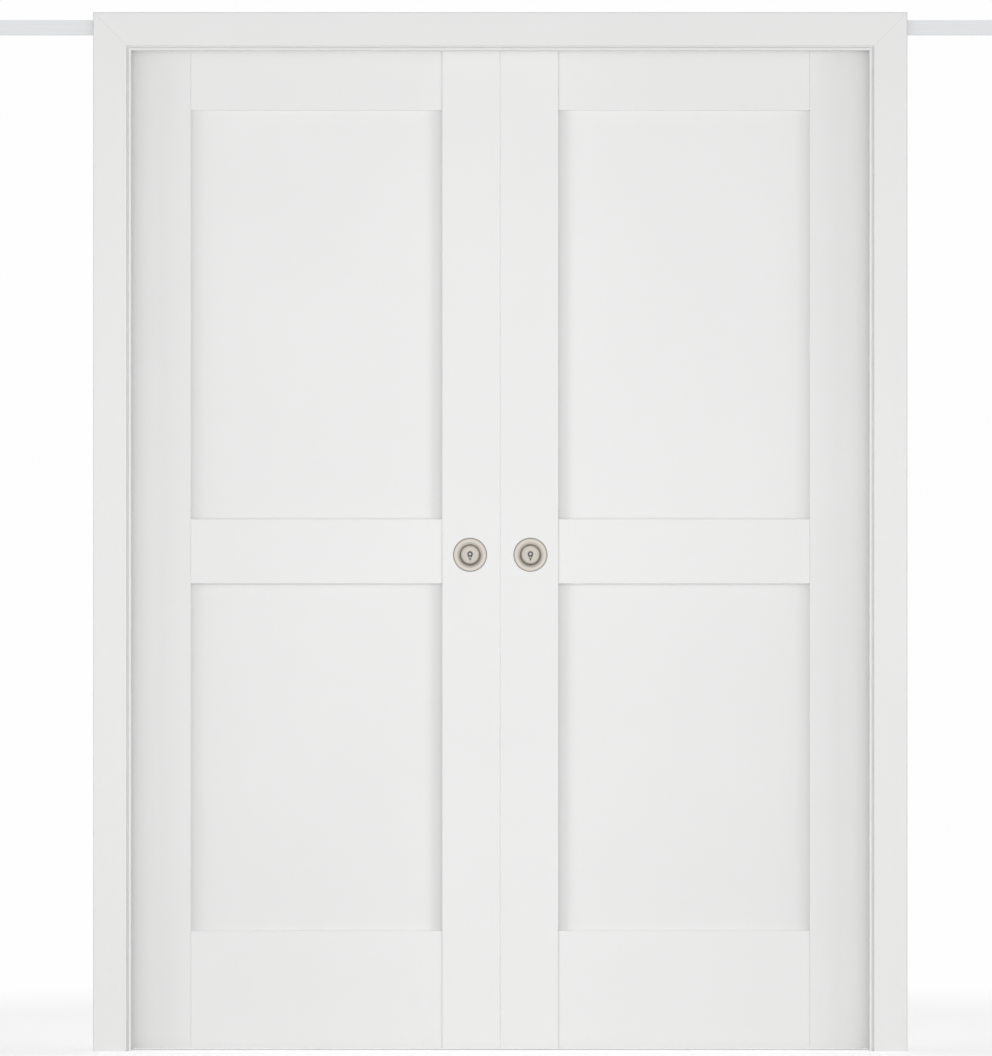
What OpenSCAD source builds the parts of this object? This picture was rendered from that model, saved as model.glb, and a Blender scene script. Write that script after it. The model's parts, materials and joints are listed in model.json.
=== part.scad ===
// Double pocket door: two panelled doors that roll on a top rail into pockets in the wall.
// With split jambs, mitred casings on both wall faces, flush pulls and a hook lock.
// Millimetres. Origin on the floor, midway between the doors and midway in the wall.
// +X to the right seen from the front, +Y to the rear, +Z up. Shown closed.

/* [Doors] */
// Width of one door
door_w = 762; // [660:1:920]
// Height of one door
door_h = 2032; // [1960:1:2440]
// Thickness of the stiles
door_t = 40; // [38:0.5:45]
// Width of the stile on the pocket side
pocket_stile_w = 135; // [100:1:170]
// Width of the stile on the meeting side
meeting_stile_w = 117; // [104:1:150]
// Height of the top rail
top_rail_w = 131; // [90:1:170]
// Height of the lock rail
lock_rail_w = 130; // [90:1:180]
// Height of the bottom rail
bottom_rail_w = 238; // [120:1:300]
// Lower edge of the lock rail above the bottom of the door
lock_rail_z = 942; // [800:1:1050]
// Thickness of the panels
panel_t = 12; // [8:0.5:20]
// Depth of the grooves that hold panels and tenons
groove_d = 10; // [6:0.5:14]
// How far the rail faces lie behind the stile faces
rail_setback = 2; // [0.2:0.1:3]
// Gap between the closed doors
meeting_gap = 0.4; // [0.2:0.1:4]
// Gap below the doors
floor_gap = 3; // [2:0.5:15]
// Rounding of the upright door edges
edge_r = 1.5; // [0.3:0.1:4]
// How far each door opens
travel = 640; // [300:5:650]

/* [Frame] */
// Thickness of the finished wall
wall_t = 116; // [108:1:180]
// Width of each door that stays inside its pocket when closed
pocket_overlap = 15.5; // [6:0.5:40]
// Height of each door that is hidden by the head
head_overlap = 11.5; // [6:0.5:25]
// Thickness of the jambs
jamb_t = 30; // [26:1:40]
// Free space between a door face and the jamb
pocket_clearance = 6; // [5:0.5:10]
// Width of the jamb nose beside the opening
nose_w = 4.2; // [3:0.1:8]
// Width of the shadow step between nose and casing
step_w = 4.6; // [2:0.1:7]
// Depth of the shadow step
step_d = 6; // [1:0.1:8]
// Rounding of the nose
nose_r = 0.6; // [0.2:0.1:1.4]
// Width of the casings
casing_w = 67.5; // [60:0.5:110]
// Thickness of the casings
casing_t = 12; // [9:0.5:20]
// Rounding of the outer casing edge
casing_outer_r = 3; // [0.5:0.1:6]
// Rounding of the inner casing edge
casing_inner_r = 1; // [0.2:0.1:3]
// Thickness of the tongue on the casing
tongue_t = 5; // [3:0.5:6]
// Length of the tongue on the casing
tongue_l = 18; // [8:1:18]
// Play of the tongue in its slot
tongue_play = 0.5; // [0.1:0.1:1]
// Depth of the relief in the back of the casing
relief_d = 2.5; // [0.5:0.1:4]

/* [Top rail and hangers] */
// Outer width of the rail
track_w = 34; // [32:0.5:44]
// Wall thickness of the rail
track_wall = 2.5; // [1.8:0.1:3.5]
// Width of the slot below the rail
track_slot_w = 11; // [10:0.5:14]
// Free height above the wheels in the rail
track_headroom = 4.2; // [2:0.1:10]
// Radius of the wheels
wheel_r = 10; // [8.5:0.1:12]
// Width of one wheel
wheel_w = 6.6; // [5:0.1:7.4]
// Radius of the wheel axles
axle_r = 2.5; // [1.5:0.1:3]
// Distance between the two axles of a trolley
axle_spacing = 40; // [36:1:60]
// Distance from a door edge to the hanger beside it
hanger_inset = 190; // [185:1:240]
// Length of a hanger plate
hanger_l = 90; // [84:1:96]
// Width of a hanger plate
hanger_w = 30; // [24:1:32]
// Height of a hanger plate
hanger_h = 17; // [14:0.5:24]
// Sheet thickness of a hanger plate
hanger_sheet = 3; // [2:0.1:4]
// Radius of a pendant bolt
pendant_r = 4; // [3:0.1:4.2]
// Length of a stop block
stop_l = 22; // [14:1:40]
// Thickness of a stop bumper
bumper_t = 6; // [3:0.5:10]

/* [Pulls and lock] */
// Outer radius of a pull
pull_r = 34.5; // [33.5:0.1:40]
// How far the rim of a pull stands proud
pull_proud = 1.6; // [1:0.1:3]
// Depth of the pull base behind the door face
pull_depth = 8.5; // [6:0.1:8.8]
// Radius of the pull base
pull_base_r = 20; // [16:0.1:22]
// Radius where the dish of a pull begins
pull_dish_r = 30; // [29:0.1:32]
// Height of the pulls above the floor
pull_z = 1003; // [950:1:1060]
// Distance from the meeting edge to the centre of a pull
pull_backset = 61; // [50:0.5:66]
// Radius of the round end of a keyhole
key_r = 5.5; // [3:0.1:7]
// Length of a keyhole from its round centre to its tip
key_l = 14.3; // [9:0.1:16]
// Thickness of the lock case
lock_t = 15; // [12:0.5:16]
// Depth of the lock case behind the door edge
lock_l = 80; // [74:0.5:86]
// Height of the lock case
lock_h = 92; // [84:1:110]
// Length of the lock face plate
plate_l = 170; // [130:1:220]
// Width of the lock face plate
plate_w = 20; // [17:0.5:26]
// Reach of the hook from its pivot
hook_l = 34; // [31:0.5:36]
// Thickness of the hook
hook_t = 5; // [3:0.1:6]

/* [Fixings] */
// Radius of the jamb fixing holes
jamb_hole_r = 2.6; // [1.5:0.1:3]
// Height of the lower jamb fixing holes
jamb_hole_z = 300; // [150:10:500]
// Distance from the head down to the upper jamb fixing holes
jamb_hole_drop = 225; // [100:5:600]
// Radius of the fixing holes in the rail
track_hole_r = 2.7; // [1.5:0.1:4]
// Distance from the middle to the inner fixing holes in the rail
track_hole_in = 320; // [100:5:500]
// Distance from the opening to the next fixing holes in the rail
track_hole_past = 55; // [20:1:150]
// Distance from the end of the rail to the outer fixing holes
track_hole_end = 60; // [20:1:150]
// Shank radius of the frame screws
screw_r = 2; // [1.5:0.1:2.4]
// Height of a floor guide
guide_h = 40; // [24:1:60]
// Width of a floor guide
guide_w = 20; // [16:1:21]

/* [Hidden] */
$fa = 6;
$fs = 0.4;
fit = 0.05;
cut = 1;

// Doors
edge_x = meeting_gap / 2;
back_x = edge_x + door_w;
door_z = floor_gap;
door_top = door_z + door_h;
half_t = door_t / 2;
rail_half = half_t - rail_setback;
rail_x0 = edge_x + meeting_stile_w;
rail_x1 = back_x - pocket_stile_w;
panel_play = 0.5;
bottom_z1 = door_z + bottom_rail_w;
lock_z0 = door_z + lock_rail_z;
lock_z1 = lock_z0 + lock_rail_w;
top_z0 = door_top - top_rail_w;

// Frame
clear_x = back_x - pocket_overlap;
clear_h = door_top - head_overlap;
wall_y = wall_t / 2;
face_y = wall_y + casing_t;
slot_y = half_t + pocket_clearance;
casing_u0 = nose_w + step_w;
casing_u1 = casing_u0 + casing_w;
tongue_u0 = (casing_u0 + jamb_t - tongue_t) / 2;
tongue_u1 = tongue_u0 + tongue_t;
tongue_y = wall_y - tongue_l;
tongue_room = 2;
tongue_slot_y = tongue_y - tongue_room;
relief_inner_land = 6;
relief_outer_land = 10;
relief_u0 = jamb_t + relief_inner_land;
relief_u1 = casing_u1 - relief_outer_land;
jamb_hole_y = (slot_y + tongue_slot_y) / 2;
head_top = clear_h + jamb_t;

// Top rail
run_gap = 0.3;
nut_h = 4;
nut_gap = 1;
nut_r = 7.5;
bolt_head_h = 5;
bolt_end = 1;
pendant_play = 0.5;
hat_half = 18;
track_z0 = door_top + hanger_h + nut_h + nut_gap;
lip_z = track_z0 + track_wall;
axle_z = lip_z + run_gap + wheel_r;
track_h = 2 * track_wall + run_gap + 2 * wheel_r + track_headroom;
track_top = track_z0 + track_h;
track_in = track_w / 2 - track_wall;
trolley_r = 7;
trolley_nose = 2;
trolley_half = axle_spacing / 2 + wheel_r + trolley_nose;
trolley_y = 5.5;
wheel_y = 6.2;
wheel_chamfer = 0.8;
wheel_dish = 1;
wheel_rim_w = 3;
lead_x = edge_x + hanger_inset;
tail_x = back_x - hanger_inset;
stop_gap = 0.5;
stop_play = 1;
stop_neck_inset = 3;
stop_neck_play = 0.5;
track_tail = 12;
close_face_x = lead_x - trolley_half - stop_gap;
open_face_x = tail_x + trolley_half + travel + stop_gap;
track_end = open_face_x + bumper_t + stop_l + track_tail;
stop_h = 2 * wheel_r;
track_hole_xs = [track_hole_in, clear_x + track_hole_past, track_end - track_hole_end];

// Screws
head_screws = 2;
nailer_screws = 3;
head_screw_xs = evenly(head_screws);
nailer_screw_xs = evenly(nailer_screws);
head_screw_l = 45;
nailer_tip_gap = 0.5;
nailer_screw_l = wall_y - track_in - nailer_tip_gap;
hanger_screw_l = 32;
hanger_screw_x = 33;
hanger_screw_y = 8;
guide_screw_l = 14;
guide_screw_r = 1.75;
guide_rise = 8;
guide_gap = 0.5;
guide_inset = 4;
guide_chamfer = 3;
guide_x = clear_x + guide_inset + guide_w / 2;
guide_y = half_t + guide_gap;
guide_z = guide_rise + guide_h / 2;
plate_screw_r = 1.75;
plate_screw_l = 25;
plate_screw_inset = 12;

// Pulls and lock
pull_base_t = 1.5;
pull_wall = 1.5;
pull_rim = 1.2;
pull_shoulder = 1;
pull_sleeve = 6;
pull_play = 0.1;
pull_bore_r = pull_dish_r + pull_play;
dish_steps = 10;
pull_x = edge_x + pull_backset;
key_z = 1.7;
pin_top_r = 1.7;
pin_low_r = 1.4;
pin_low_z = -5.6;
plate_t = 3;
case_wall = 1.5;
case_play = 0.3;
pivot_backset = 18;
pivot_rise = 13;
pivot_x = edge_x + pivot_backset;
pivot_z = pull_z + pivot_rise;
pivot_r = 3;
hook_eye_r = 7;
hook_half_w = 5;
claw_out = 12;
claw_root = 8;
claw_tip = 5;
claw_nose = 2;
plate_slot_side = 1;
plate_slot_low = 1;
plate_slot_high = 2.5;
plate_slot_w = hook_t + 2 * plate_slot_side;
plate_slot_z0 = pivot_z - hook_l + plate_slot_low;
plate_slot_z1 = pivot_z + hook_half_w + plate_slot_high;

white = [0.84, 0.84, 0.83];
timber = [0.62, 0.46, 0.28];
alloy = [0.72, 0.73, 0.75];
zinc = [0.62, 0.63, 0.64];
nickel = [0.66, 0.64, 0.6];
nylon = [0.88, 0.88, 0.84];
black = [0.05, 0.05, 0.05];

function arc(x, y, r, a0, a1, n = 6) =
    [for (i = [0:n]) [x + r * cos(a0 + (a1 - a0) * i / n), y + r * sin(a0 + (a1 - a0) * i / n)]];

// Places spread evenly over half of the opening
function evenly(n) = [for (i = [0:n - 1]) (i + 0.5) * clear_x / n];

// Everything is drawn for the right side and the rear face.
module left() {
    mirror([1, 0, 0])
        children();
}

module front() {
    mirror([0, 1, 0])
        children();
}

module both_sides() {
    children();
    left()
        children();
}

module both_faces() {
    children();
    front()
        children();
}

module block(x0, x1, y0, y1, z0, z1) {
    translate([x0, y0, z0])
        cube([x1 - x0, y1 - y0, z1 - z0]);
}

// A cylinder along +Y, from the given point
module rod_y(r, l) {
    rotate([-90, 0, 0])
        cylinder(r = r, h = l);
}

// An outline in X and Z, given thickness in Y about the middle of the wall
module slab(t) {
    rotate([90, 0, 0])
        linear_extrude(height = t, center = true)
            children();
}

// Countersunk screw along +Z with its head at the origin
module screw(r, l) {
    rotate_extrude()
        polygon([[0, 0], [2 * r, 0], [r, r], [r, l - 2 * r], [0, l]]);
}

// The hole for such a screw, a little wider
module screw_hole(r, l) {
    rotate_extrude()
        polygon([
            [0, -cut], [2 * r + fit, -cut], [2 * r + fit, 0], [r + fit, r],
            [r + fit, l - 2 * r], [0, l + fit]
        ]);
}

// Casing section: u from the opening outwards, v from the middle of the wall
module casing_section() {
    polygon(concat(
        [
            [casing_u0, wall_y], [tongue_u0, wall_y], [tongue_u0, tongue_y],
            [tongue_u1, tongue_y], [tongue_u1, wall_y], [relief_u0, wall_y],
            [relief_u0, wall_y + relief_d], [relief_u1, wall_y + relief_d],
            [relief_u1, wall_y], [casing_u1, wall_y]
        ],
        arc(casing_u1 - casing_outer_r, face_y - casing_outer_r, casing_outer_r, 0, 90),
        arc(casing_u0 + casing_inner_r, face_y - casing_inner_r, casing_inner_r, 90, 180)
    ));
}

// Jamb section in the same directions
module jamb_section() {
    polygon(concat(
        [
            [0, slot_y], [jamb_t, slot_y], [jamb_t, wall_y],
            [tongue_u1 + tongue_play, wall_y], [tongue_u1 + tongue_play, tongue_slot_y],
            [tongue_u0 - tongue_play, tongue_slot_y], [tongue_u0 - tongue_play, wall_y],
            [casing_u0, wall_y], [casing_u0, face_y - step_d], [nose_w, face_y - step_d]
        ],
        arc(nose_w - nose_r, face_y - nose_r, nose_r, 0, 90),
        arc(nose_r, face_y - nose_r, nose_r, 90, 180)
    ));
}

// An upright of the frame, mitred at the top between u0 and u1
module upright(u0, u1) {
    intersection() {
        translate([clear_x, 0, 0])
            linear_extrude(height = clear_h + u1)
                children();
        slab(4 * face_y)
            polygon([
                [clear_x + u0, 0], [clear_x + u1, 0],
                [clear_x + u1, clear_h + u1], [clear_x + u0, clear_h + u0]
            ]);
    }
}

// The head of the frame, mitred at both ends between u0 and u1
module head(u0, u1) {
    intersection() {
        translate([0, 0, clear_h])
            rotate([0, -90, 0])
                linear_extrude(height = 2 * (clear_x + u1), center = true)
                    children();
        slab(4 * face_y)
            polygon([
                [-clear_x - u0, clear_h + u0], [clear_x + u0, clear_h + u0],
                [clear_x + u1, clear_h + u1], [-clear_x - u1, clear_h + u1]
            ]);
    }
}

module side_casing() {
    color(white)
        upright(casing_u0, casing_u1)
            casing_section();
}

module head_casing() {
    color(white)
        head(casing_u0, casing_u1)
            casing_section();
}

module side_jamb() {
    color(white)
        difference() {
            upright(0, jamb_t)
                jamb_section();
            for (z = [jamb_hole_z, clear_h - jamb_hole_drop])
                translate([clear_x, jamb_hole_y, z])
                    rotate([0, 90, 0])
                        jamb_fixing_hole();
            translate([guide_x, guide_y, guide_z])
                rotate([-90, 0, 0])
                    screw_hole(guide_screw_r, guide_screw_l);
        }
}

// Countersunk through hole for a screw into the wall
module jamb_fixing_hole() {
    rotate_extrude()
        polygon([
            [0, -cut], [2 * jamb_hole_r, -cut], [2 * jamb_hole_r, 0],
            [jamb_hole_r, jamb_hole_r], [jamb_hole_r, jamb_t + cut], [0, jamb_t + cut]
        ]);
}

module head_screw_places() {
    both_sides()
        for (x = head_screw_xs)
            translate([x, jamb_hole_y, clear_h])
                children();
}

module nailer_screw_places() {
    both_sides()
        for (x = nailer_screw_xs)
            translate([x, wall_y, (track_z0 + track_top) / 2])
                rotate([90, 0, 0])
                    children();
}

module head_jamb() {
    color(white)
        difference() {
            head(0, jamb_t)
                jamb_section();
            head_screw_places()
                screw_hole(screw_r, head_screw_l);
        }
}

module head_nailer() {
    color(timber)
        difference() {
            block(-clear_x - jamb_t, clear_x + jamb_t, track_w / 2, wall_y, head_top, track_top);
            head_screw_places()
                screw_hole(screw_r, head_screw_l);
            nailer_screw_places()
                screw_hole(screw_r, nailer_screw_l);
        }
}

module frame_screws() {
    color(zinc)
        both_faces() {
            head_screw_places()
                screw(screw_r, head_screw_l);
            nailer_screw_places()
                screw(screw_r, nailer_screw_l);
        }
}

module track() {
    color(alloy)
        difference() {
            block(0, track_end, -track_w / 2, track_w / 2, track_z0, track_top);
            block(-cut, track_end + cut, -track_in, track_in, lip_z, track_top - track_wall);
            block(-cut, track_end + cut, -track_slot_w / 2, track_slot_w / 2, track_z0 - cut, lip_z + cut);
            for (x = track_hole_xs)
                translate([x, 0, track_top - track_wall - cut])
                    cylinder(r = track_hole_r, h = track_wall + 2 * cut);
            both_faces()
                nailer_screw_places()
                    screw_hole(screw_r, nailer_screw_l);
        }
}

// A block clamped in the rail, with a neck down through the slot
module stop_block(x) {
    body_y = track_in - stop_play;
    neck_y = track_slot_w / 2 - stop_neck_play;
    block(x, x + stop_l, -body_y, body_y, lip_z, lip_z + stop_h);
    block(x + stop_neck_inset, x + stop_l - stop_neck_inset, -neck_y, neck_y, track_z0, lip_z + cut);
}

module track_stops() {
    color(zinc)
        both_sides() {
            stop_block(close_face_x - bumper_t - stop_l);
            stop_block(open_face_x + bumper_t);
        }
}

module stop_bumpers() {
    color(black)
        both_sides()
            for (x = [close_face_x - bumper_t, open_face_x])
                translate([x, 0, axle_z])
                    rotate([0, 90, 0])
                        cylinder(r = trolley_r, h = bumper_t);
}

// Guide pads at the pocket mouth, one on each side of the door
module floor_guides() {
    color(nylon)
        both_sides()
            both_faces()
                difference() {
                    translate([clear_x + guide_inset, 0, guide_rise])
                        linear_extrude(height = guide_h)
                            polygon([
                                [0, slot_y], [0, guide_y + guide_chamfer], [guide_chamfer, guide_y],
                                [guide_w - guide_chamfer, guide_y], [guide_w, guide_y + guide_chamfer],
                                [guide_w, slot_y]
                            ]);
                    translate([guide_x, guide_y, guide_z])
                        rotate([-90, 0, 0])
                            screw_hole(guide_screw_r, guide_screw_l);
                }
}

module guide_screws() {
    color(zinc)
        both_sides()
            both_faces()
                translate([guide_x, guide_y, guide_z])
                    rotate([-90, 0, 0])
                        screw(guide_screw_r, guide_screw_l);
}

// An upright of a door, w wide: square beside the panels, eased along the door edge at +X
module stile(w) {
    linear_extrude(height = door_h)
        polygon(concat(
            [[0, half_t], [0, -half_t]],
            arc(w - edge_r, edge_r - half_t, edge_r, -90, 0),
            arc(w - edge_r, half_t - edge_r, edge_r, 0, 90)
        ));
}

module pocket_stile() {
    color(white)
        difference() {
            translate([rail_x1, 0, door_z])
                stile(pocket_stile_w);
            block(
                rail_x1 - cut, rail_x1 + groove_d, -panel_t / 2, panel_t / 2,
                door_z - cut, door_top + cut
            );
        }
}

module meeting_stile() {
    color(white)
        difference() {
            translate([rail_x0, 0, door_z])
                left()
                    stile(meeting_stile_w);
            block(
                rail_x0 - groove_d, rail_x0 + cut, -panel_t / 2, panel_t / 2,
                door_z - cut, door_top + cut
            );
            translate([pull_x, -half_t - cut, pull_z])
                rod_y(pull_bore_r, door_t + 2 * cut);
            block(
                edge_x - cut, edge_x + lock_l + case_play, -lock_t / 2 - case_play, lock_t / 2 + case_play,
                pull_z - lock_h / 2 - case_play, pull_z + lock_h / 2 + case_play
            );
            block(
                edge_x - cut, edge_x + plate_t, -plate_w / 2 - case_play, plate_w / 2 + case_play,
                pull_z - plate_l / 2 - case_play, pull_z + plate_l / 2 + case_play
            );
            plate_screw_places()
                screw_hole(plate_screw_r, plate_screw_l);
        }
}

// A rail with stub tenons, grooved where a panel enters it
module rail(z0, z1, groove_low, groove_high) {
    color(white)
        difference() {
            union() {
                block(rail_x0, rail_x1, -rail_half, rail_half, z0, z1);
                block(
                    rail_x0 - groove_d + panel_play, rail_x1 + groove_d - panel_play,
                    -panel_t / 2, panel_t / 2, z0 + groove_low, z1 - groove_high
                );
            }
            if (groove_low > 0)
                block(rail_x0 - cut, rail_x1 + cut, -panel_t / 2, panel_t / 2, z0 - cut, z0 + groove_low);
            if (groove_high > 0)
                block(rail_x0 - cut, rail_x1 + cut, -panel_t / 2, panel_t / 2, z1 - groove_high, z1 + cut);
        }
}

module top_rail() {
    difference() {
        rail(top_z0, door_top, groove_d, 0);
        color(white)
            hanger_screw_places()
                screw_hole(screw_r, hanger_screw_l);
    }
}

module lock_rail() {
    rail(lock_z0, lock_z1, groove_d, groove_d);
}

module bottom_rail() {
    rail(door_z, bottom_z1, 0, groove_d);
}

module panel(z0, z1) {
    reach = groove_d - panel_play;
    color(white)
        block(rail_x0 - reach, rail_x1 + reach, -panel_t / 2, panel_t / 2, z0 - reach, z1 + reach);
}

module upper_panel() {
    panel(lock_z1, top_z0);
}

module lower_panel() {
    panel(bottom_z1, lock_z0);
}

// Keyhole outline about the pull centre: a round head drawn out to a tip
module keyhole() {
    lean = asin(key_r / key_l);
    translate([0, key_z]) {
        circle(r = key_r);
        polygon([
            [key_r * cos(lean), -key_r * sin(lean)], [0, -key_l],
            [-key_r * cos(lean), -key_r * sin(lean)]
        ]);
    }
}

// Cup section: radius and height above the door face
module pull_section() {
    rim = min(pull_rim, pull_proud);
    back = -pull_depth - pull_base_t;
    cup_r = pull_base_r + pull_wall;
    sleeve_r = pull_dish_r - pull_wall;
    polygon(concat(
        [[pull_dish_r, 0]],
        arc(pull_r - rim, pull_proud - rim, rim, 0, 90),
        [
            for (i = [0:dish_steps]) [
                pull_dish_r - (pull_dish_r - pull_base_r) * sin(90 * i / dish_steps),
                -pull_depth + (pull_proud + pull_depth) * cos(90 * i / dish_steps)
            ]
        ],
        [
            [0, -pull_depth], [0, back], [cup_r, back], [cup_r, pull_shoulder - pull_depth],
            [sleeve_r, -pull_wall], [sleeve_r, -pull_sleeve], [pull_dish_r, -pull_sleeve]
        ]
    ));
}

module pull() {
    color(nickel)
        difference() {
            translate([pull_x, half_t, pull_z])
                rotate([-90, 0, 0])
                    rotate_extrude()
                        pull_section();
            translate([pull_x, half_t, pull_z])
                slab(4 * pull_depth)
                    keyhole();
        }
}

module plate_screw_places() {
    for (side = [-1, 1])
        translate([edge_x, 0, pull_z + side * (plate_l / 2 - plate_screw_inset)])
            rotate([0, 90, 0])
                children();
}

module plate_screws() {
    color(zinc)
        plate_screw_places()
            screw(plate_screw_r, plate_screw_l);
}

// Hollow case behind the keyholes, with its face plate and two key pins
module lock_case() {
    case_half = lock_t / 2;
    difference() {
        union() {
            block(
                edge_x, edge_x + lock_l, -case_half, case_half,
                pull_z - lock_h / 2, pull_z + lock_h / 2
            );
            block(
                edge_x, edge_x + plate_t, -plate_w / 2, plate_w / 2,
                pull_z - plate_l / 2, pull_z + plate_l / 2
            );
        }
        block(
            edge_x + plate_t, edge_x + lock_l - case_wall, -case_half + case_wall, case_half - case_wall,
            pull_z - lock_h / 2 + case_wall, pull_z + lock_h / 2 - case_wall
        );
        block(
            edge_x - cut, edge_x + plate_t + cut, -plate_slot_w / 2, plate_slot_w / 2,
            plate_slot_z0, plate_slot_z1
        );
        plate_screw_places()
            screw_hole(plate_screw_r, plate_screw_l);
    }
    for (p = [[key_z, pin_top_r], [pin_low_z, pin_low_r]])
        translate([pull_x, pull_depth - half_t, pull_z + p[0]])
            rod_y(p[1], door_t - 2 * pull_depth);
}

module keeper_case() {
    color(zinc)
        lock_case();
}

module bolt_case() {
    color(zinc) {
        lock_case();
        translate([pivot_x, -lock_t / 2 + case_wall / 2, pivot_z])
            rod_y(pivot_r, lock_t - case_wall);
    }
}

// Hook hanging from its pivot, its claw towards the meeting edge
module hook_bolt() {
    color(zinc)
        translate([pivot_x, 0, pivot_z])
            slab(hook_t)
                difference() {
                    union() {
                        circle(r = hook_eye_r);
                        polygon([
                            [hook_half_w, 0], [-hook_half_w, 0], [-hook_half_w, claw_root - hook_l],
                            [-claw_out, claw_tip - hook_l], [-claw_out, claw_nose - hook_l],
                            [claw_nose - claw_out, -hook_l], [hook_half_w, -hook_l]
                        ]);
                    }
                    circle(r = pivot_r + fit);
                }
}

module hanger_places() {
    for (x = [lead_x, tail_x])
        translate([x, 0, 0])
            children();
}

module hanger_screw_places() {
    hanger_places()
        for (x = [-hanger_screw_x, hanger_screw_x], y = [-hanger_screw_y, hanger_screw_y])
            translate([x, y, door_top + hanger_sheet])
                rotate([180, 0, 0])
                    children();
}

// Raised plate with two screwed feet and an open slot for the pendant bolt
module hanger_plates() {
    slot_r = pendant_r + pendant_play;
    color(zinc)
        difference() {
            hanger_places()
                difference() {
                    translate([0, 0, door_top])
                        slab(hanger_w)
                            difference() {
                                union() {
                                    translate([-hanger_l / 2, 0])
                                        square([hanger_l, hanger_sheet]);
                                    translate([-hat_half, 0])
                                        square([2 * hat_half, hanger_h]);
                                }
                                translate([hanger_sheet - hat_half, -cut])
                                    square([2 * (hat_half - hanger_sheet), hanger_h - hanger_sheet + cut]);
                            }
                    translate([0, 0, door_top + hanger_h - hanger_sheet - cut])
                        linear_extrude(height = hanger_sheet + 2 * cut) {
                            circle(r = slot_r);
                            translate([-slot_r, -hanger_w])
                                square([2 * slot_r, hanger_w]);
                        }
                }
            hanger_screw_places()
                screw_hole(screw_r, hanger_screw_l);
        }
}

module hanger_screws() {
    color(zinc)
        hanger_screw_places()
            screw(screw_r, hanger_screw_l);
}

// Bolt with its head below the plate and its lock nut above it
module pendant_bolts() {
    tab_z = door_top + hanger_h;
    bolt_z = tab_z - hanger_sheet - bolt_head_h;
    color(zinc)
        hanger_places() {
            translate([0, 0, bolt_z]) {
                cylinder(r = nut_r, h = bolt_head_h, $fn = 6);
                cylinder(r = pendant_r, h = axle_z + trolley_r + bolt_end - bolt_z);
            }
            translate([0, 0, tab_z])
                cylinder(r = nut_r, h = nut_h, $fn = 6);
        }
}

module trolleys() {
    color(zinc)
        hanger_places()
            difference() {
                translate([0, 0, axle_z])
                    slab(2 * trolley_y) {
                        for (x = [-1, 1])
                            translate([x * (trolley_half - trolley_r), 0])
                                circle(r = trolley_r);
                        square([2 * (trolley_half - trolley_r), 2 * trolley_r], center = true);
                    }
                translate([0, 0, axle_z - 2 * trolley_r])
                    cylinder(r = pendant_r + fit, h = 4 * trolley_r);
                for (x = [-1, 1])
                    translate([x * axle_spacing / 2, -2 * trolley_y, axle_z])
                        rod_y(axle_r + fit, 4 * trolley_y);
            }
}

// Two wheels on one axle, at the given place along the rail
module wheel_set(x) {
    w1 = wheel_y + wheel_w;
    tread_r = wheel_r - wheel_chamfer;
    dish_r = wheel_r - wheel_rim_w;
    color(nylon)
        translate([x, 0, axle_z])
            rotate([-90, 0, 0])
                rotate_extrude()
                    polygon([
                        [0, -w1], [axle_r, -w1], [axle_r, wheel_dish - w1], [dish_r, wheel_dish - w1],
                        [dish_r, -w1], [tread_r, -w1], [wheel_r, wheel_chamfer - w1],
                        [wheel_r, -wheel_y - wheel_chamfer], [tread_r, -wheel_y], [axle_r, -wheel_y],
                        [axle_r, wheel_y], [tread_r, wheel_y], [wheel_r, wheel_y + wheel_chamfer],
                        [wheel_r, w1 - wheel_chamfer], [tread_r, w1], [dish_r, w1],
                        [dish_r, w1 - wheel_dish], [axle_r, w1 - wheel_dish], [axle_r, w1], [0, w1]
                    ]);
}

module lead_inner_wheels() {
    wheel_set(lead_x - axle_spacing / 2);
}

module lead_outer_wheels() {
    wheel_set(lead_x + axle_spacing / 2);
}

module tail_inner_wheels() {
    wheel_set(tail_x - axle_spacing / 2);
}

module tail_outer_wheels() {
    wheel_set(tail_x + axle_spacing / 2);
}

left() front() side_casing();  // front_left_casing
front() side_casing();  // front_right_casing
front() head_casing();  // front_head_casing
left() side_casing();  // rear_left_casing
side_casing();  // rear_right_casing
head_casing();  // rear_head_casing
left() front() side_jamb();  // front_left_jamb
front() side_jamb();  // front_right_jamb
front() head_jamb();  // front_head_jamb
left() side_jamb();  // rear_left_jamb
side_jamb();  // rear_right_jamb
head_jamb();  // rear_head_jamb
front() head_nailer();  // front_head_nailer
head_nailer();  // rear_head_nailer
left() track();  // left_track
track();  // right_track
track_stops();
stop_bumpers();
floor_guides();
guide_screws();
frame_screws();
left() pocket_stile();  // left_pocket_stile
left() meeting_stile();  // left_meeting_stile
left() top_rail();  // left_top_rail
left() lock_rail();  // left_lock_rail
left() bottom_rail();  // left_bottom_rail
left() upper_panel();  // left_upper_panel
left() lower_panel();  // left_lower_panel
left() front() pull();  // left_front_pull
left() pull();  // left_rear_pull
left() keeper_case();  // left_keeper_case
left() plate_screws();  // left_plate_screws
left() hanger_plates();  // left_hanger_plates
left() hanger_screws();  // left_hanger_screws
left() pendant_bolts();  // left_pendant_bolts
left() trolleys();  // left_trolleys
left() lead_inner_wheels();  // left_lead_inner_wheels
left() lead_outer_wheels();  // left_lead_outer_wheels
left() tail_inner_wheels();  // left_tail_inner_wheels
left() tail_outer_wheels();  // left_tail_outer_wheels
pocket_stile();  // right_pocket_stile
meeting_stile();  // right_meeting_stile
top_rail();  // right_top_rail
lock_rail();  // right_lock_rail
bottom_rail();  // right_bottom_rail
upper_panel();  // right_upper_panel
lower_panel();  // right_lower_panel
front() pull();  // right_front_pull
pull();  // right_rear_pull
bolt_case();  // right_lock_case
plate_screws();  // right_plate_screws
hook_bolt();  // right_hook_bolt
hanger_plates();  // right_hanger_plates
hanger_screws();  // right_hanger_screws
pendant_bolts();  // right_pendant_bolts
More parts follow.
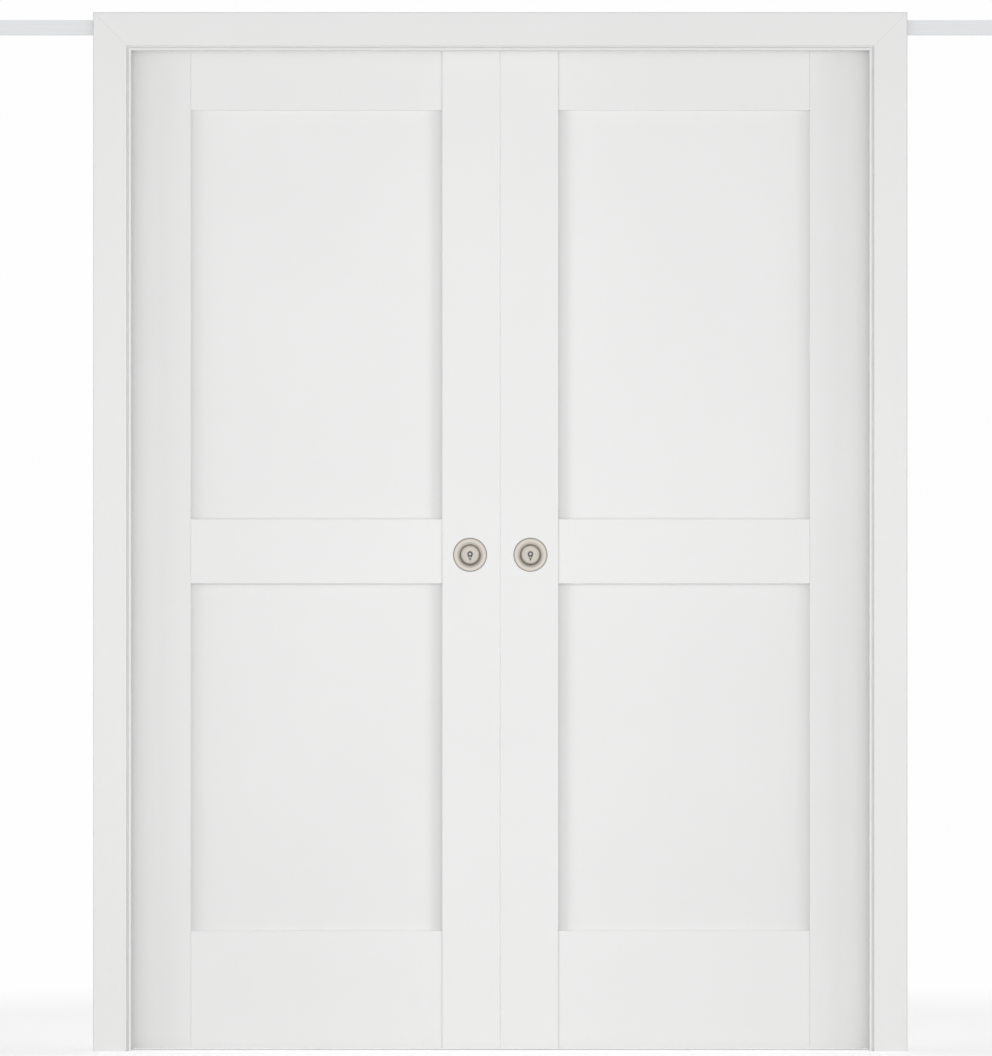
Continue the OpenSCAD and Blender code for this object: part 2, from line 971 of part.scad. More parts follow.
trolleys();  // right_trolleys
lead_inner_wheels();  // right_lead_inner_wheels
lead_outer_wheels();  // right_lead_outer_wheels
tail_inner_wheels();  // right_tail_inner_wheels
tail_outer_wheels();  // right_tail_outer_wheels
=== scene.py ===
"""Looks of a double pocket door: eased edges, materials, flush pulls, floor, light and camera."""
import json
import math
from collections import namedtuple

import bmesh
import bpy
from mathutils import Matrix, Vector

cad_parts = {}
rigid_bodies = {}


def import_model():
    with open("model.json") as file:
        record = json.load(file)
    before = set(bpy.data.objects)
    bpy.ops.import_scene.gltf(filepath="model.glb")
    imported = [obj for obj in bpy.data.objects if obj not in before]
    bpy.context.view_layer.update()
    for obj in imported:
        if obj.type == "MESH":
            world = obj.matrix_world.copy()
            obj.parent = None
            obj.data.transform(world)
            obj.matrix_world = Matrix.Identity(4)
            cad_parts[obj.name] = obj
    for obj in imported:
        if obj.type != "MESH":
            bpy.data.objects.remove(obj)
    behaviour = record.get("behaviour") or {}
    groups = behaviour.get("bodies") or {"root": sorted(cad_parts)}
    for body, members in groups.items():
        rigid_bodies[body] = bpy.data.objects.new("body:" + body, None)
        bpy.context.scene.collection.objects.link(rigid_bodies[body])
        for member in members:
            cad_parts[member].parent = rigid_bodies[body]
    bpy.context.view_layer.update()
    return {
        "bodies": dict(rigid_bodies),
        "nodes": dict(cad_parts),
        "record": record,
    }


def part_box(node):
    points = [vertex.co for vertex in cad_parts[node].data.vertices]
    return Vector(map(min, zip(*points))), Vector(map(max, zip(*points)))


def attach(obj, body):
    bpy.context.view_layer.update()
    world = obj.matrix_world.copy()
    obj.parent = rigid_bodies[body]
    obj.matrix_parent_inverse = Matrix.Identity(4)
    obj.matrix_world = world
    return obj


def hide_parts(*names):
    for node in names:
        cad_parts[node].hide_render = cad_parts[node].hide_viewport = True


MM = 0.001

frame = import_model()
nodes = frame["nodes"]

# Each side of the pair with its way inwards along X, and each face with its way outwards along Y
SIDES = (("left", 1), ("right", -1))
FACES = (("front", -1), ("rear", 1))

# Pulls: a rolled rim, a wall and the base of a cup, in metres
PULL_RADIUS = 34.5 * MM
PULL_CROWN_RADIUS = 29 * MM
PULL_WALL_RADIUS = 19.8 * MM
PULL_BASE_RADIUS = 15 * MM
PULL_PROUD = 1.6 * MM
PULL_WALL_DEPTH = 4.5 * MM
PULL_DEPTH = 8.5 * MM
PULL_BASE_THICK = 1.5 * MM
PULL_ARC_STEPS = 16
PULL_STEPS = 128

# Painted shade and a painted highlight on the pulls, with some tarnishing: a share of the radius, and how
# much of the nickel's shade is left there; darker in the cup's wall and at the rim's foot, lighter on the
# crown
PAINTED_SHADE_AND_TARNISH = (
    (0.4, 0.92),
    (0.58, 0.64),
    (0.7, 0.8),
    (0.82, 1.04),
    (0.87, 1.04),
    (0.94, 0.8),
    (0.965, 0.45),
    (1.0, 0.4),
)

# Keyhole in the base of each pull, with an eased edge, in metres
KEY_RADIUS = 5.5 * MM
KEY_LENGTH = 14.3 * MM
KEY_RISE = 1.7 * MM
KEY_EASE = 0.4 * MM
KEY_EASE_MIDDLE = 0.3 * KEY_EASE
KEY_STEPS = 40

# Lock behind the pulls and the domed caps on its key pins, in metres, with the caps' rings as shares
LOCK_CASES = {"left": "left_keeper_case", "right": "right_lock_case"}
LOCK_PLATE_THICK = 3 * MM
LOCK_CASE_HALF = 7.5 * MM
LOCK_MARGIN = 0.1 * MM
PinCap = namedtuple("PinCap", "place rise radius")
PIN_CAPS = (
    PinCap("upper", rise=1.7 * MM, radius=2.2 * MM),
    PinCap("lower", rise=-5.6 * MM, radius=1.6 * MM),
)
PIN_CAP_RISE = 0.8 * MM
PIN_CAP_RINGS = (1.0, 0.9, 0.7, 0.4, 0.1)
PIN_CAP_STEPS = 32

# Share of a wheel's radius that is its axle
AXLE_SHARE = 0.26

# Paint: the share of light that it gives back on doors, trim and filled joints, its mottle and its blue
DOOR_WHITE = 0.86
TRIM_WHITE = 0.83
FILLER_WHITE = 0.7
PAINT_MOTTLE = 0.01
PAINT_BLUE = 0.995

# Grain of the wood under the paint, in waves to the metre
GRAIN_ALONG = 9
GRAIN_ACROSS = 420

# Places of the darker and the lighter tone in a pattern that runs from 0 to 1
DARK_STOP = 0.3
LIGHT_STOP = 0.7

# Joint line across the mitres of the casings, in metres
MITRE_WIDTH = 0.8 * MM
MITRE_LIFT = 0.03 * MM
MITRE_END = 1.5 * MM

# Eased edges, in metres
PAINT_EASE = 0.5 * MM
PAINT_EASE_STEPS = 3
METAL_EASE = 0.3 * MM
METAL_EASE_STEPS = 2
WELD_REACH = 0.01 * MM
SHARP_ANGLE = math.radians(35)

# Picture: the size of the photograph and what it shows of the object, in its pixels
IMAGE_SIZE = (992, 1056)
FLOOR_LINE = 1049.3
CENTRE_LINE = 500.26
METRES_PER_PIXEL = 2.0282 * MM
CAMERA_DISTANCE = 20.0
SENSOR = 36.0

# Surround and floor: levels of white, and lengths in metres
BACKDROP = 0.99
WORLD_FILL = 0.5
WORLD_BESIDE = 0.6
FLOOR_GLOW = 0.4
FLOOR_WHITE = 0.93
FLOOR_MOTTLE = 0.01
FLOOR_HALF = 30
FLOOR_DROP = 0.2 * MM
FADE_START = 1.6
FADE_END = 3.0

# Lamps before each face, in metres and watts: x and aim are from the centre line, inwards of the side
Lamp = namedtuple("Lamp", "kind x distance height aim size power")
EVEN_LAMP = Lamp("soft", x=0, distance=4, height=1.1, aim=0, size=(8, 2.2), power=122)
DIM_LAMP = Lamp("dim", x=0, distance=3.6, height=1.1, aim=0, size=(8, 2.2), power=83)
PANEL_LAMPS = (
    Lamp("inner", x=4.05, distance=3, height=1.4, aim=4.05, size=(8, 2.8), power=69),
    Lamp("outer", x=-3.6, distance=3, height=1.4, aim=-3.6, size=(5.8, 2.8), power=42),
    Lamp("inner_rake", x=2.2, distance=1.3, height=1.0, aim=-0.37, size=(0.8, 2.0), power=19),
    Lamp("outer_rake", x=-7.6, distance=3.4, height=1.0, aim=-0.37, size=(3, 2.0), power=102),
)


def grey(level):
    return (level, level, level)


def add(material, kind, **settings):
    """A new shader node in a material or in the world, with its settings."""
    node = material.node_tree.nodes.new(kind)
    for name, setting in settings.items():
        setattr(node, name, setting)
    return node


def join(material, source, target):
    material.node_tree.links.new(source, target)


def put(material, value, target):
    """Sets an input to a plain number, or joins it to another node's output."""
    if isinstance(value, (int, float)):
        target.default_value = value
    else:
        join(material, value, target)


def calculate(material, operation, *values):
    """What a maths node makes of numbers or outputs."""
    node = add(material, "ShaderNodeMath", operation=operation)
    for value, target in zip(values, node.inputs):
        put(material, value, target)
    return node.outputs["Value"]


def length_of(material, vector):
    node = add(material, "ShaderNodeVectorMath", operation="LENGTH")
    join(material, vector, node.inputs[0])
    return node.outputs["Value"]


def blend(material, factor, first, second):
    """The first colour where factor is 0, and the second where it is 1."""
    node = add(material, "ShaderNodeMix", data_type="RGBA")
    join(material, factor, node.inputs["Factor"])
    join(material, first, node.inputs["A"])
    join(material, second, node.inputs["B"])
    return node.outputs["Result"]


def new_material(name, colour, roughness, metallic=0.0):
    """A material and its main shader, with the plain values that its patterns then vary."""
    material = bpy.data.materials.new(name)
    material.use_nodes = True
    shader = material.node_tree.nodes["Principled BSDF"]
    shader.inputs["Base Color"].default_value = (*colour, 1)
    shader.inputs["Roughness"].default_value = roughness
    shader.inputs["Metallic"].default_value = metallic
    return material, shader


def stretched(material, scale):
    """Coordinates of the piece itself, in metres, scaled along each axis."""
    place = add(material, "ShaderNodeTexCoord")
    mapping = add(material, "ShaderNodeMapping")
    mapping.inputs["Scale"].default_value = scale
    join(material, place.outputs["Object"], mapping.inputs["Vector"])
    return mapping.outputs["Vector"]


def noise(material, scale, detail=2.0, roughness=0.5, distortion=0.0):
    """Noise with scale as its waves to the metre, along each axis."""
    texture = add(material, "ShaderNodeTexNoise")
    texture.inputs["Scale"].default_value = 1.0
    texture.inputs["Detail"].default_value = detail
    texture.inputs["Roughness"].default_value = roughness
    texture.inputs["Distortion"].default_value = distortion
    join(material, stretched(material, scale), texture.inputs["Vector"])
    return texture.outputs["Fac"]


def ramp(material, source, stops):
    """A colour ramp from (position, colour) stops."""
    node = add(material, "ShaderNodeValToRGB")
    elements = node.color_ramp.elements
    while len(elements) < len(stops):
        elements.new(0.5)
    for element, (position, colour) in zip(elements, stops):
        element.position = position
        element.color = (*colour, 1)
    join(material, source, node.inputs["Fac"])
    return node.outputs["Color"]


def two_tone(material, source, dark, light):
    return ramp(material, source, [(DARK_STOP, dark), (LIGHT_STOP, light)])


def spread(material, source, low, high):
    """A value from 0 to 1 spread over low to high, which are numbers or outputs."""
    node = add(material, "ShaderNodeMapRange")
    join(material, source, node.inputs["Value"])
    put(material, low, node.inputs["To Min"])
    put(material, high, node.inputs["To Max"])
    return node.outputs["Result"]


def bump(material, shader, height, strength, depth):
    """Lays a bump over those that the shader already has, with its depth in metres."""
    node = add(material, "ShaderNodeBump")
    node.inputs["Strength"].default_value = strength
    node.inputs["Distance"].default_value = depth
    join(material, height, node.inputs["Height"])
    normal = shader.inputs["Normal"]
    if normal.is_linked:
        join(material, normal.links[0].from_socket, node.inputs["Normal"])
    join(material, node.outputs["Normal"], normal)


def white_paint(name, along, tone):
    """Satin white paint over wood: faint grain along one axis, fine orange peel and slight mottling."""
    material, shader = new_material(name, grey(tone), roughness=0.42)
    shader.inputs["Specular IOR Level"].default_value = 0.3
    mottle = noise(material, (2.2, 2.2, 2.2), detail=3.0)
    low, high = (1 - PAINT_MOTTLE) * tone, (1 + PAINT_MOTTLE) * tone
    tint = two_tone(material, mottle, (low, low, PAINT_BLUE * low), (high, high, PAINT_BLUE * high))
    join(material, tint, shader.inputs["Base Color"])
    grain_scale = tuple(GRAIN_ALONG if axis == along else GRAIN_ACROSS for axis in "XYZ")
    grain = noise(material, grain_scale, detail=3.0, roughness=0.6)
    peel = noise(material, (700, 700, 700))
    join(material, spread(material, grain, low=0.36, high=0.48), shader.inputs["Roughness"])
    bump(material, shader, grain, strength=0.1, depth=0.12 * MM)
    bump(material, shader, peel, strength=0.08, depth=0.06 * MM)
    return material


def timber():
    """Planed softwood, its rings drawn out along the piece."""
    material, shader = new_material("plain_timber", (0.55, 0.4, 0.24), roughness=0.6)
    rings = noise(material, (1.6, 55, 55), detail=4.0, roughness=0.55, distortion=1.2)
    colours = [(0.25, (0.44, 0.29, 0.15)), (0.5, (0.6, 0.43, 0.25)), (0.75, (0.68, 0.52, 0.33))]
    join(material, ramp(material, rings, colours), shader.inputs["Base Color"])
    join(material, spread(material, rings, low=0.5, high=0.7), shader.inputs["Roughness"])
    pores = noise(material, (30, 1400, 1400))
    bump(material, shader, pores, strength=0.25, depth=0.2 * MM)
    return material


def anodised_aluminium():
    """Satin extruded aluminium with fine drawn lines along its length."""
    material, shader = new_material("rail_aluminium", (0.8, 0.81, 0.82), roughness=0.34, metallic=1.0)
    lines = noise(material, (5, 1600, 1600), detail=3.0)
    shade = two_tone(material, lines, (0.76, 0.77, 0.78), (0.83, 0.84, 0.85))
    join(material, shade, shader.inputs["Base Color"])
    join(material, spread(material, lines, low=0.28, high=0.42), shader.inputs["Roughness"])
    bump(material, shader, lines, strength=0.12, depth=0.05 * MM)
    return material


def zinc_plate():
    """Bright zinc plating with a soft mottle and fine handling marks."""
    material, shader = new_material("zinc_steel", (0.6, 0.61, 0.62), roughness=0.32, metallic=1.0)
    mottle = noise(material, (160, 160, 160), detail=4.0, roughness=0.6)
    shade = two_tone(material, mottle, (0.54, 0.55, 0.57), (0.66, 0.67, 0.68))
    join(material, shade, shader.inputs["Base Color"])
    join(material, spread(material, mottle, low=0.24, high=0.42), shader.inputs["Roughness"])
    marks = noise(material, (1800, 1800, 1800))
    bump(material, shader, marks, strength=0.08, depth=0.04 * MM)
    return material


def satin_nickel():
    """Satin nickel turned on a lathe: rings about the pull's axis along Y, with painted shade in the
    cup's wall and at the rim's foot, a painted highlight on the crown, and some tarnishing, all by
    radius.
    """
    material, shader = new_material("satin_nickel", (0.74, 0.69, 0.63), roughness=0.3, metallic=1.0)
    shader.inputs["Anisotropic"].default_value = 0.55
    tangent = add(material, "ShaderNodeTangent", direction_type="RADIAL", axis="Y")
    join(material, tangent.outputs["Tangent"], shader.inputs["Tangent"])
    radius = length_of(material, stretched(material, (1 / PULL_RADIUS, 0, 1 / PULL_RADIUS)))
    rings = add(material, "ShaderNodeTexNoise", noise_dimensions="1D")
    rings.inputs["Scale"].default_value = 90.0
    rings.inputs["Detail"].default_value = 3.0
    join(material, radius, rings.inputs["W"])
    lines = rings.outputs["Fac"]
    shade = two_tone(material, lines, (0.7, 0.65, 0.58), (0.78, 0.74, 0.67))
    # Painted shade by radius: darker in the cup's wall and at the rim's foot, with a painted highlight on
    # the crown and some tarnishing
    painted_shade_and_tarnish = ramp(material, radius, [(share, grey(level)) for share, level in PAINTED_SHADE_AND_TARNISH])
    nickel_with_painted_shade = add(material, "ShaderNodeVectorMath", operation="MULTIPLY")
    join(material, shade, nickel_with_painted_shade.inputs[0])
    join(material, painted_shade_and_tarnish, nickel_with_painted_shade.inputs[1])
    join(material, nickel_with_painted_shade.outputs["Vector"], shader.inputs["Base Color"])
    join(material, spread(material, lines, low=0.24, high=0.38), shader.inputs["Roughness"])
    bump(material, shader, lines, strength=0.1, depth=0.03 * MM)
    return material


def lock_steel(plate_edge, case_side):
    """Lock case: satin plate at the meeting edge, bright pins at the keyholes, dark case between."""
    material, shader = new_material("lock_steel", grey(0.3), roughness=0.34, metallic=1.0)
    place = add(material, "ShaderNodeTexCoord")
    size = add(material, "ShaderNodeVectorMath", operation="ABSOLUTE")
    join(material, place.outputs["Object"], size.inputs[0])
    parts = add(material, "ShaderNodeSeparateXYZ")
    join(material, size.outputs["Vector"], parts.inputs["Vector"])
    on_plate = calculate(material, "LESS_THAN", parts.outputs["X"], plate_edge)
    on_pin = calculate(material, "GREATER_THAN", parts.outputs["Y"], case_side)
    bright = calculate(material, "MAXIMUM", on_plate, on_pin)
    lines = noise(material, (1500, 1500, 12))
    dark = two_tone(material, lines, grey(0.14), grey(0.22))
    light = two_tone(material, lines, (0.78, 0.76, 0.72), (0.86, 0.84, 0.8))
    join(material, blend(material, bright, dark, light), shader.inputs["Base Color"])
    join(material, spread(material, lines, low=0.26, high=0.4), shader.inputs["Roughness"])
    bump(material, shader, lines, strength=0.08, depth=0.04 * MM)
    return material


def fine_grained(name, colour, roughness):
    """A plain colour, slightly cloudy, with a fine spark texture: moulded plastic, or dull steel caps."""
    material, shader = new_material(name, colour, roughness)
    cloud = noise(material, (60, 60, 60), detail=3.0)
    shade = two_tone(material, cloud, tuple(0.96 * part for part in colour), colour)
    join(material, shade, shader.inputs["Base Color"])
    sheen = spread(material, cloud, low=roughness - 0.06, high=roughness + 0.08)
    join(material, sheen, shader.inputs["Roughness"])
    spark = noise(material, (2500, 2500, 2500))
    bump(material, shader, spark, strength=0.15, depth=0.05 * MM)
    return material


def wheel_nylon():
    """Nylon wheels on a steel axle, which is what lies within a share of the wheel's radius."""
    material, shader = new_material("wheel_nylon", (0.84, 0.83, 0.79), roughness=0.4)
    place = add(material, "ShaderNodeTexCoord")
    centred = add(material, "ShaderNodeMapping")
    centred.inputs["Location"].default_value = (-1, 0, -1)
    centred.inputs["Scale"].default_value = (2, 0, 2)
    join(material, place.outputs["Generated"], centred.inputs["Vector"])
    radius = length_of(material, centred.outputs["Vector"])
    on_axle = calculate(material, "LESS_THAN", radius, AXLE_SHARE)
    cloud = noise(material, (300, 300, 300), detail=3.0)
    nylon = two_tone(material, cloud, (0.8, 0.79, 0.74), (0.86, 0.85, 0.81))
    steel = two_tone(material, cloud, (0.56, 0.57, 0.58), (0.66, 0.67, 0.68))
    join(material, blend(material, on_axle, nylon, steel), shader.inputs["Base Color"])
    join(material, on_axle, shader.inputs["Metallic"])
    join(material, spread(material, cloud, low=0.34, high=0.48), shader.inputs["Roughness"])
    return material


def rubber():
    """Matt black rubber with a fine grain and a little bloom."""
    material, shader = new_material("bumper_rubber", grey(0.03), roughness=0.75)
    bloom = noise(material, (220, 220, 220), detail=4.0)
    shade = ramp(material, bloom, [(0.3, grey(0.022)), (0.75, grey(0.05))])
    join(material, shade, shader.inputs["Base Color"])
    grain = noise(material, (2200, 2200, 2200))
    bump(material, shader, grain, strength=0.3, depth=0.1 * MM)
    return material


def ease_edges(piece, width, steps):
    """Rounds the sharp edges of a CAD piece, whose own mesh stays as it is."""
    weld = piece.modifiers.new("weld", "WELD")
    weld.merge_threshold = WELD_REACH
    ease = piece.modifiers.new("ease", "BEVEL")
    ease.width = width
    ease.segments = steps
    ease.limit_method = "ANGLE"
    ease.angle_limit = SHARP_ANGLE
    ease.harden_normals = True


def wear(piece, material):
    piece.data.materials.clear()
    piece.data.materials.append(material)


def dress_cad():
    """Materials and eased edges for every CAD piece that shows."""
    paints = {
        (kind, along): white_paint(f"{kind}_paint_{along.lower()}", along, tone)
        for kind, tone in (("door", DOOR_WHITE), ("trim", TRIM_WHITE))
        for along in "XZ"
    }
    looks = {
        "plain_timber": timber(),
        "rail_aluminium": anodised_aluminium(),
        "zinc_steel": zinc_plate(),
        "wheel_nylon": wheel_nylon(),
        "bumper_rubber": rubber(),
        "guide_plastic": fine_grained("guide_plastic", (0.84, 0.84, 0.82), roughness=0.45),
    }
    eased = ("rail_aluminium", "zinc_steel", "guide_plastic")
    level_words = ("head", "rail")
    plate_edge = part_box("right_lock_case")[0].x + LOCK_PLATE_THICK + LOCK_MARGIN
    lock = lock_steel(plate_edge, case_side=LOCK_CASE_HALF + LOCK_MARGIN)
    for part in frame["record"]["subparts"]:
        name = part["node"]
        slot = part["material_slot"]
        piece = nodes[name]
        if slot == "white_paint":
            kind = "trim" if piece.parent == frame["bodies"]["frame"] else "door"
            along = "X" if any(word in name for word in level_words) else "Z"
            wear(piece, paints[kind, along])
            ease_edges(piece, PAINT_EASE, PAINT_EASE_STEPS)
        elif name.endswith("_case"):
            wear(piece, lock)
        elif slot in looks:
            wear(piece, looks[slot])
            if slot in eased:
                ease_edges(piece, METAL_EASE, METAL_EASE_STEPS)


def add_object(name, data):
    piece = bpy.data.objects.new(name, data)
    bpy.context.scene.collection.objects.link(piece)
    return piece


def circle(radius, steps):
    turns = [2 * math.pi * i / steps for i in range(steps)]
    return [(radius * math.cos(turn), radius * math.sin(turn)) for turn in turns]


def keyhole(grow):
    """Keyhole outline about the pull's centre, in X and Z, larger all round by grow."""
    radius = KEY_RADIUS + grow
    lean = math.asin(KEY_RADIUS / KEY_LENGTH)
    length = radius / math.sin(lean)
    turns = [-lean + (math.pi + 2 * lean) * i / KEY_STEPS for i in range(KEY_STEPS + 1)]
    outline = [(radius * math.cos(turn), KEY_RISE + radius * math.sin(turn)) for turn in turns]
    return outline + [(0.0, KEY_RISE - length)]


def pull_profile():
    """Radius and height of a pull's face, by quarter arcs: rolled rim, wall, and hollow to the base."""
    corners = [
        (PULL_RADIUS, 0.0),
        (PULL_CROWN_RADIUS, PULL_PROUD),
        (PULL_WALL_RADIUS, -PULL_WALL_DEPTH),
        (PULL_BASE_RADIUS, -PULL_DEPTH),
    ]
    steep_first = (True, False, True)
    profile = [corners[0]]
    for (r0, h0), (r1, h1), steep in zip(corners, corners[1:], steep_first):
        for i in range(1, PULL_ARC_STEPS + 1):
            turn = math.pi / 2 * i / PULL_ARC_STEPS
            early, late = math.sin(turn), 1 - math.cos(turn)
            across, up = (late, early) if steep else (early, late)
            profile.append((r0 + (r1 - r0) * across, h0 + (h1 - h0) * up))
    return profile


def ring(mesh, outline, depth):
    return [mesh.verts.new((x, depth, z)) for x, z in outline]


def round_pairs(loop):
    """Each item of a closed loop with the next one."""
    return zip(loop, loop[1:] + loop[:1])


def skin(mesh, rings):
    """Faces from each ring to the next."""
    for outer, inner in zip(rings, rings[1:]):
        for (a, b), (d, c) in zip(round_pairs(outer), round_pairs(inner)):
            mesh.faces.new((a, b, c, d))


def finish_mesh(name, mesh, centre, material):
    """An object from a built mesh, smooth apart from its sharp edges."""
    bmesh.ops.recalc_face_normals(mesh, faces=mesh.faces)
    data = bpy.data.meshes.new(name)
    mesh.to_mesh(data)
    mesh.free()
    data.materials.append(material)
    data.shade_smooth()
    data.set_sharp_from_angle(angle=SHARP_ANGLE)
    piece = add_object(name, data)
    piece.location = centre
    return piece


def make_pull(name, centre, outward, material):
    """A dished cup with an eased keyhole through its base, its face along outward, which is -Y or +Y."""
    mesh = bmesh.new()
    cup = [ring(mesh, circle(radius, PULL_STEPS), outward * height) for radius, height in pull_profile()]
    skin(mesh, cup)
    key_steps = (
        (KEY_EASE, 0.0),
        (KEY_EASE_MIDDLE, KEY_EASE_MIDDLE),
        (0.0, KEY_EASE),
        (0.0, PULL_BASE_THICK),
    )
    hole = [ring(mesh, keyhole(grow), outward * (-PULL_DEPTH - down)) for grow, down in key_steps]
    skin(mesh, hole)
    base_edges = [mesh.edges.get(pair) for loop in (cup[-1], hole[0]) for pair in round_pairs(loop)]
    bmesh.ops.triangle_fill(mesh, edges=base_edges, use_beauty=True)
    return finish_mesh(name, mesh, centre, material)


def make_pin_cap(name, centre, outward, radius, material):
    """A domed cap on the end of a key pin, its crown towards outward."""
    mesh = bmesh.new()
    dome = []
    for share in PIN_CAP_RINGS:
        height = PIN_CAP_RISE * math.sqrt(1 - share ** 2)
        dome.append(ring(mesh, circle(radius * share, PIN_CAP_STEPS), outward * height))
    skin(mesh, dome)
    mesh.faces.new(dome[-1])
    mesh.faces.new(dome[0])
    return finish_mesh(name, mesh, centre, material)


def dress_pulls():
    """A finely turned pull in place of each CAD pull, and caps on the key pins behind it."""
    nickel = satin_nickel()
    cap_look = fine_grained("pin_cap_steel", (0.8, 0.79, 0.75), roughness=0.3)
    for side, inward in SIDES:
        for face, outward in FACES:
            node = f"{side}_{face}_pull"
            low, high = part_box(node)
            door_face = (low.y + PULL_PROUD) if outward < 0 else (high.y - PULL_PROUD)
            centre = Vector(((low.x + high.x) / 2, door_face, (low.z + high.z) / 2))
            piece = make_pull(f"{node}_turned", centre, outward, nickel)
            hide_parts(node)
            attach(piece, f"{side}_door")
            pins_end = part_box(LOCK_CASES[side])[0 if outward < 0 else 1].y
            for place, rise, radius in PIN_CAPS:
                cap_centre = Vector((centre.x, pins_end, centre.z + rise))
                cap_name = f"{side}_{face}_{place}_pin_cap"
                cap = make_pin_cap(cap_name, cap_centre, outward, radius, cap_look)
                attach(cap, f"{side}_door")


def make_mitre_line(name, corner, run, outward, material):
    """A filled joint across a mitre, from the casing's outer corner by run, facing along outward."""
    along = run.normalized()
    half_across = Vector((-along.z, 0, along.x)) * (MITRE_WIDTH / 2)
    start = corner + Vector((0, outward * MITRE_LIFT, 0))
    first = start + along * MITRE_END
    last = start + run - along * MITRE_END
    points = [first + half_across, first - half_across, last - half_across, last + half_across]
    data = bpy.data.meshes.new(name)
    data.from_pydata(points, [], [(0, 1, 2, 3)])
    data.materials.append(material)
    return add_object(name, data)


def dress_mitres():
    """A faint joint line at each upper corner of the casings."""
    filler = white_paint("joint_filler", "X", FILLER_WHITE)
    for face, outward in FACES:
        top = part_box(f"{face}_head_casing")[1].z
        for side, inward in SIDES:
            low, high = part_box(f"{face}_{side}_casing")
            width = high.x - low.x
            corner = Vector((low.x if inward > 0 else high.x, low.y if outward < 0 else high.y, top))
            run = Vector((inward * width, 0, -width))
            line = make_mitre_line(f"{face}_{side}_mitre", corner, run, outward, filler)
            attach(line, "frame")


def make_camera():
    """A long lens square to the doors, with the photograph's framing."""
    width, height = (METRES_PER_PIXEL * pixels for pixels in IMAGE_SIZE)
    data = bpy.data.cameras.new("camera")
    data.sensor_width = SENSOR
    data.lens = SENSOR * CAMERA_DISTANCE / max(width, height)
    data.clip_end = 4 * CAMERA_DISTANCE
    camera = add_object("camera", data)
    x = (IMAGE_SIZE[0] / 2 - CENTRE_LINE) * METRES_PER_PIXEL
    z = (FLOOR_LINE - IMAGE_SIZE[1] / 2) * METRES_PER_PIXEL
    camera.location = (x, -CAMERA_DISTANCE, z)
    camera.rotation_euler = (math.pi / 2, 0, 0)
    bpy.context.scene.camera = camera


def make_world():
    """A surround that is white to look at, softer where it lights, and greyer to the sides in metal."""
    world = bpy.data.worlds.new("studio")
    world.use_nodes = True
    bpy.context.scene.world = world
    background = world.node_tree.nodes["Background"]
    background.inputs["Color"].default_value = (1, 1, 1, 1)
    place = add(world, "ShaderNodeTexCoord")
    direction = add(world, "ShaderNodeSeparateXYZ")
    join(world, place.outputs["Generated"], direction.inputs["Vector"])
    ahead = calculate(world, "MULTIPLY", direction.outputs["Y"], direction.outputs["Y"])
    rays = add(world, "ShaderNodeLightPath").outputs
    in_metal = spread(world, ahead, low=WORLD_BESIDE, high=BACKDROP)
    unseen = spread(world, rays["Is Glossy Ray"], low=WORLD_FILL, high=in_metal)
    seen = calculate(world, "MAXIMUM", rays["Is Camera Ray"], rays["Is Transmission Ray"])
    join(world, spread(world, seen, low=unseen, high=BACKDROP), background.inputs["Strength"])


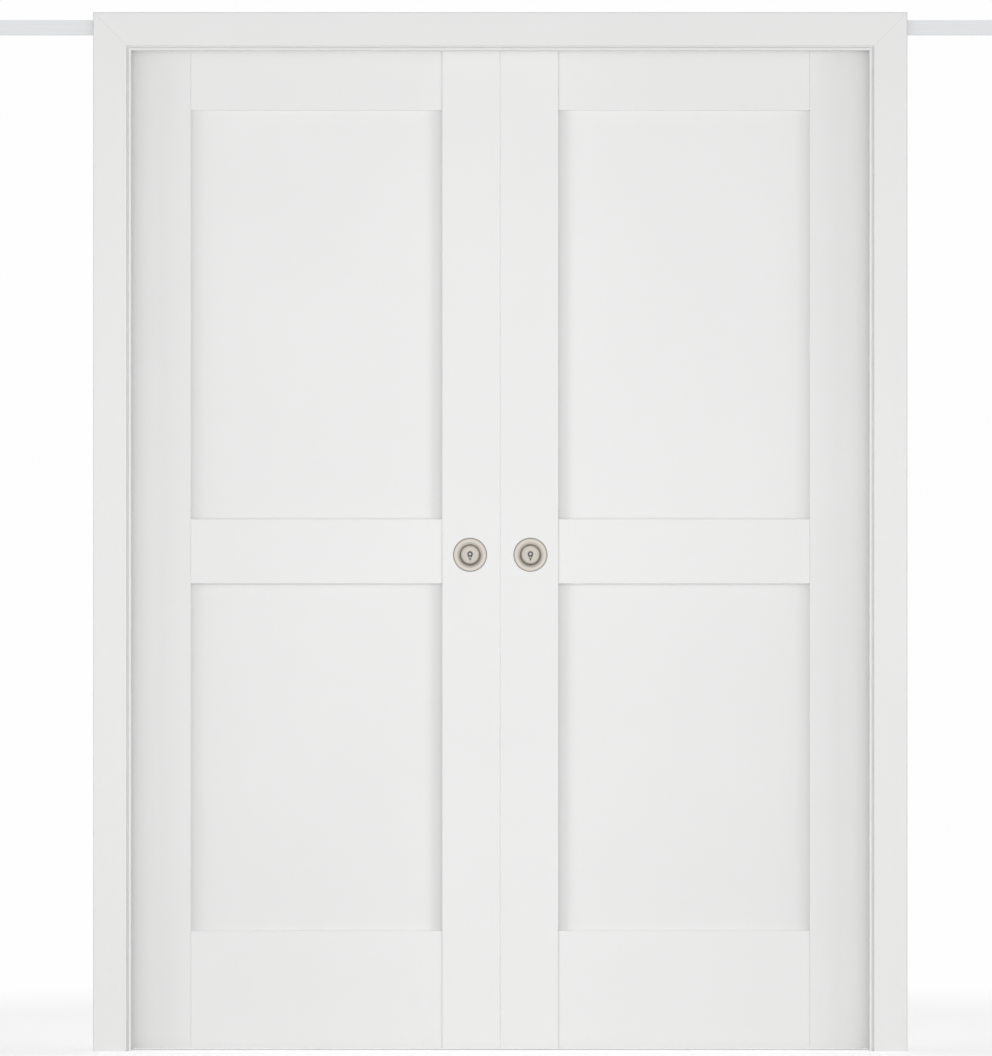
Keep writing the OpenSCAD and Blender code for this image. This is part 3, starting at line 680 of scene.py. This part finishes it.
def make_floor():
    """A pale floor that keeps the shadow beside the object and fades to the backdrop's white."""
    bpy.ops.mesh.primitive_plane_add(size=2 * FLOOR_HALF, location=(0, 0, -FLOOR_DROP))
    floor = bpy.context.object
    floor.name = "floor"
    material, shader = new_material("floor_paint", grey(FLOOR_WHITE), roughness=0.7)
    shader.inputs["Specular IOR Level"].default_value = 0.2
    grain = noise(material, (40, 40, 40), detail=3.0)
    shade = two_tone(material, grain, grey(FLOOR_WHITE - FLOOR_MOTTLE), grey(FLOOR_WHITE + FLOOR_MOTTLE))
    join(material, shade, shader.inputs["Base Color"])
    rays = add(material, "ShaderNodeLightPath").outputs
    unmirrored = calculate(material, "MAXIMUM", rays["Is Camera Ray"], rays["Is Transmission Ray"])
    seen = calculate(material, "MAXIMUM", unmirrored, rays["Is Glossy Ray"])
    glow = add(material, "ShaderNodeEmission")
    join(material, calculate(material, "MULTIPLY", seen, FLOOR_GLOW), glow.inputs["Strength"])
    lit = add(material, "ShaderNodeAddShader")
    join(material, shader.outputs["BSDF"], lit.inputs[0])
    join(material, glow.outputs["Emission"], lit.inputs[1])
    fade = add(material, "ShaderNodeMapRange", interpolation_type="SMOOTHSTEP")
    fade.inputs["From Min"].default_value = FADE_START
    fade.inputs["From Max"].default_value = FADE_END
    join(material, length_of(material, stretched(material, (1, 1, 0))), fade.inputs["Value"])
    white = add(material, "ShaderNodeEmission")
    white.inputs["Strength"].default_value = BACKDROP
    faded = add(material, "ShaderNodeMixShader")
    join(material, calculate(material, "MULTIPLY", fade.outputs["Result"], seen), faded.inputs["Fac"])
    join(material, lit.outputs["Shader"], faded.inputs[1])
    join(material, white.outputs["Emission"], faded.inputs[2])
    output = material.node_tree.nodes["Material Output"]
    join(material, faded.outputs["Shader"], output.inputs["Surface"])
    floor.data.materials.append(material)


def shine(name, lamp, pieces, outward, inward=1):
    """A soft lamp before one side and face of the pair, itself unseen, that lights only these pieces."""
    data = bpy.data.lights.new(name, "AREA")
    data.shape = "RECTANGLE"
    data.size, data.size_y = lamp.size
    data.energy = lamp.power
    light = add_object(name, data)
    place = Vector((lamp.x * inward, lamp.distance * outward, lamp.height))
    aim = Vector((lamp.aim * inward, 0, lamp.height))
    light.location = place
    light.rotation_euler = (aim - place).to_track_quat("-Z", "Y").to_euler()
    light.visible_camera = False
    light.visible_glossy = False
    lit = bpy.data.collections.new(f"{name}_lit")
    for piece in pieces:
        lit.objects.link(piece)
    light.light_linking.receiver_collection = lit


def on_each_side(*names):
    """The nodes with these names, by side of the pair."""
    return {side: [nodes[f"{side}_{name}"] for name in names] for side, inward in SIDES}


def light_studio():
    """Even light on frame and meeting stiles, less on rails and pocket stiles, wide light on panels."""
    make_world()
    make_floor()
    panels = on_each_side("upper_panel", "lower_panel")
    rails = on_each_side("top_rail", "lock_rail", "bottom_rail")
    pocket_stiles = on_each_side("pocket_stile")
    raked_too = {"inner_rake": rails, "outer_rake": pocket_stiles}
    dim = [piece for side, inward in SIDES for piece in rails[side] + pocket_stiles[side]]
    apart = panels["left"] + panels["right"] + dim
    bodies = [frame["bodies"][name] for name in ("frame", "left_door", "right_door")]
    even = [piece for body in bodies for piece in body.children if piece not in apart]
    for face, outward in FACES:
        for lamp, pieces in ((EVEN_LAMP, even), (DIM_LAMP, dim)):
            shine(f"{face}_{lamp.kind}", lamp, pieces, outward)
        for side, inward in SIDES:
            for lamp in PANEL_LAMPS:
                pieces = panels[side] + (raked_too[lamp.kind][side] if lamp.kind in raked_too else [])
                shine(f"{face}_{side}_{lamp.kind}", lamp, pieces, outward, inward)


bpy.context.scene.view_settings.view_transform = "Standard"
make_camera()
dress_cad()
dress_pulls()
dress_mitres()
light_studio()
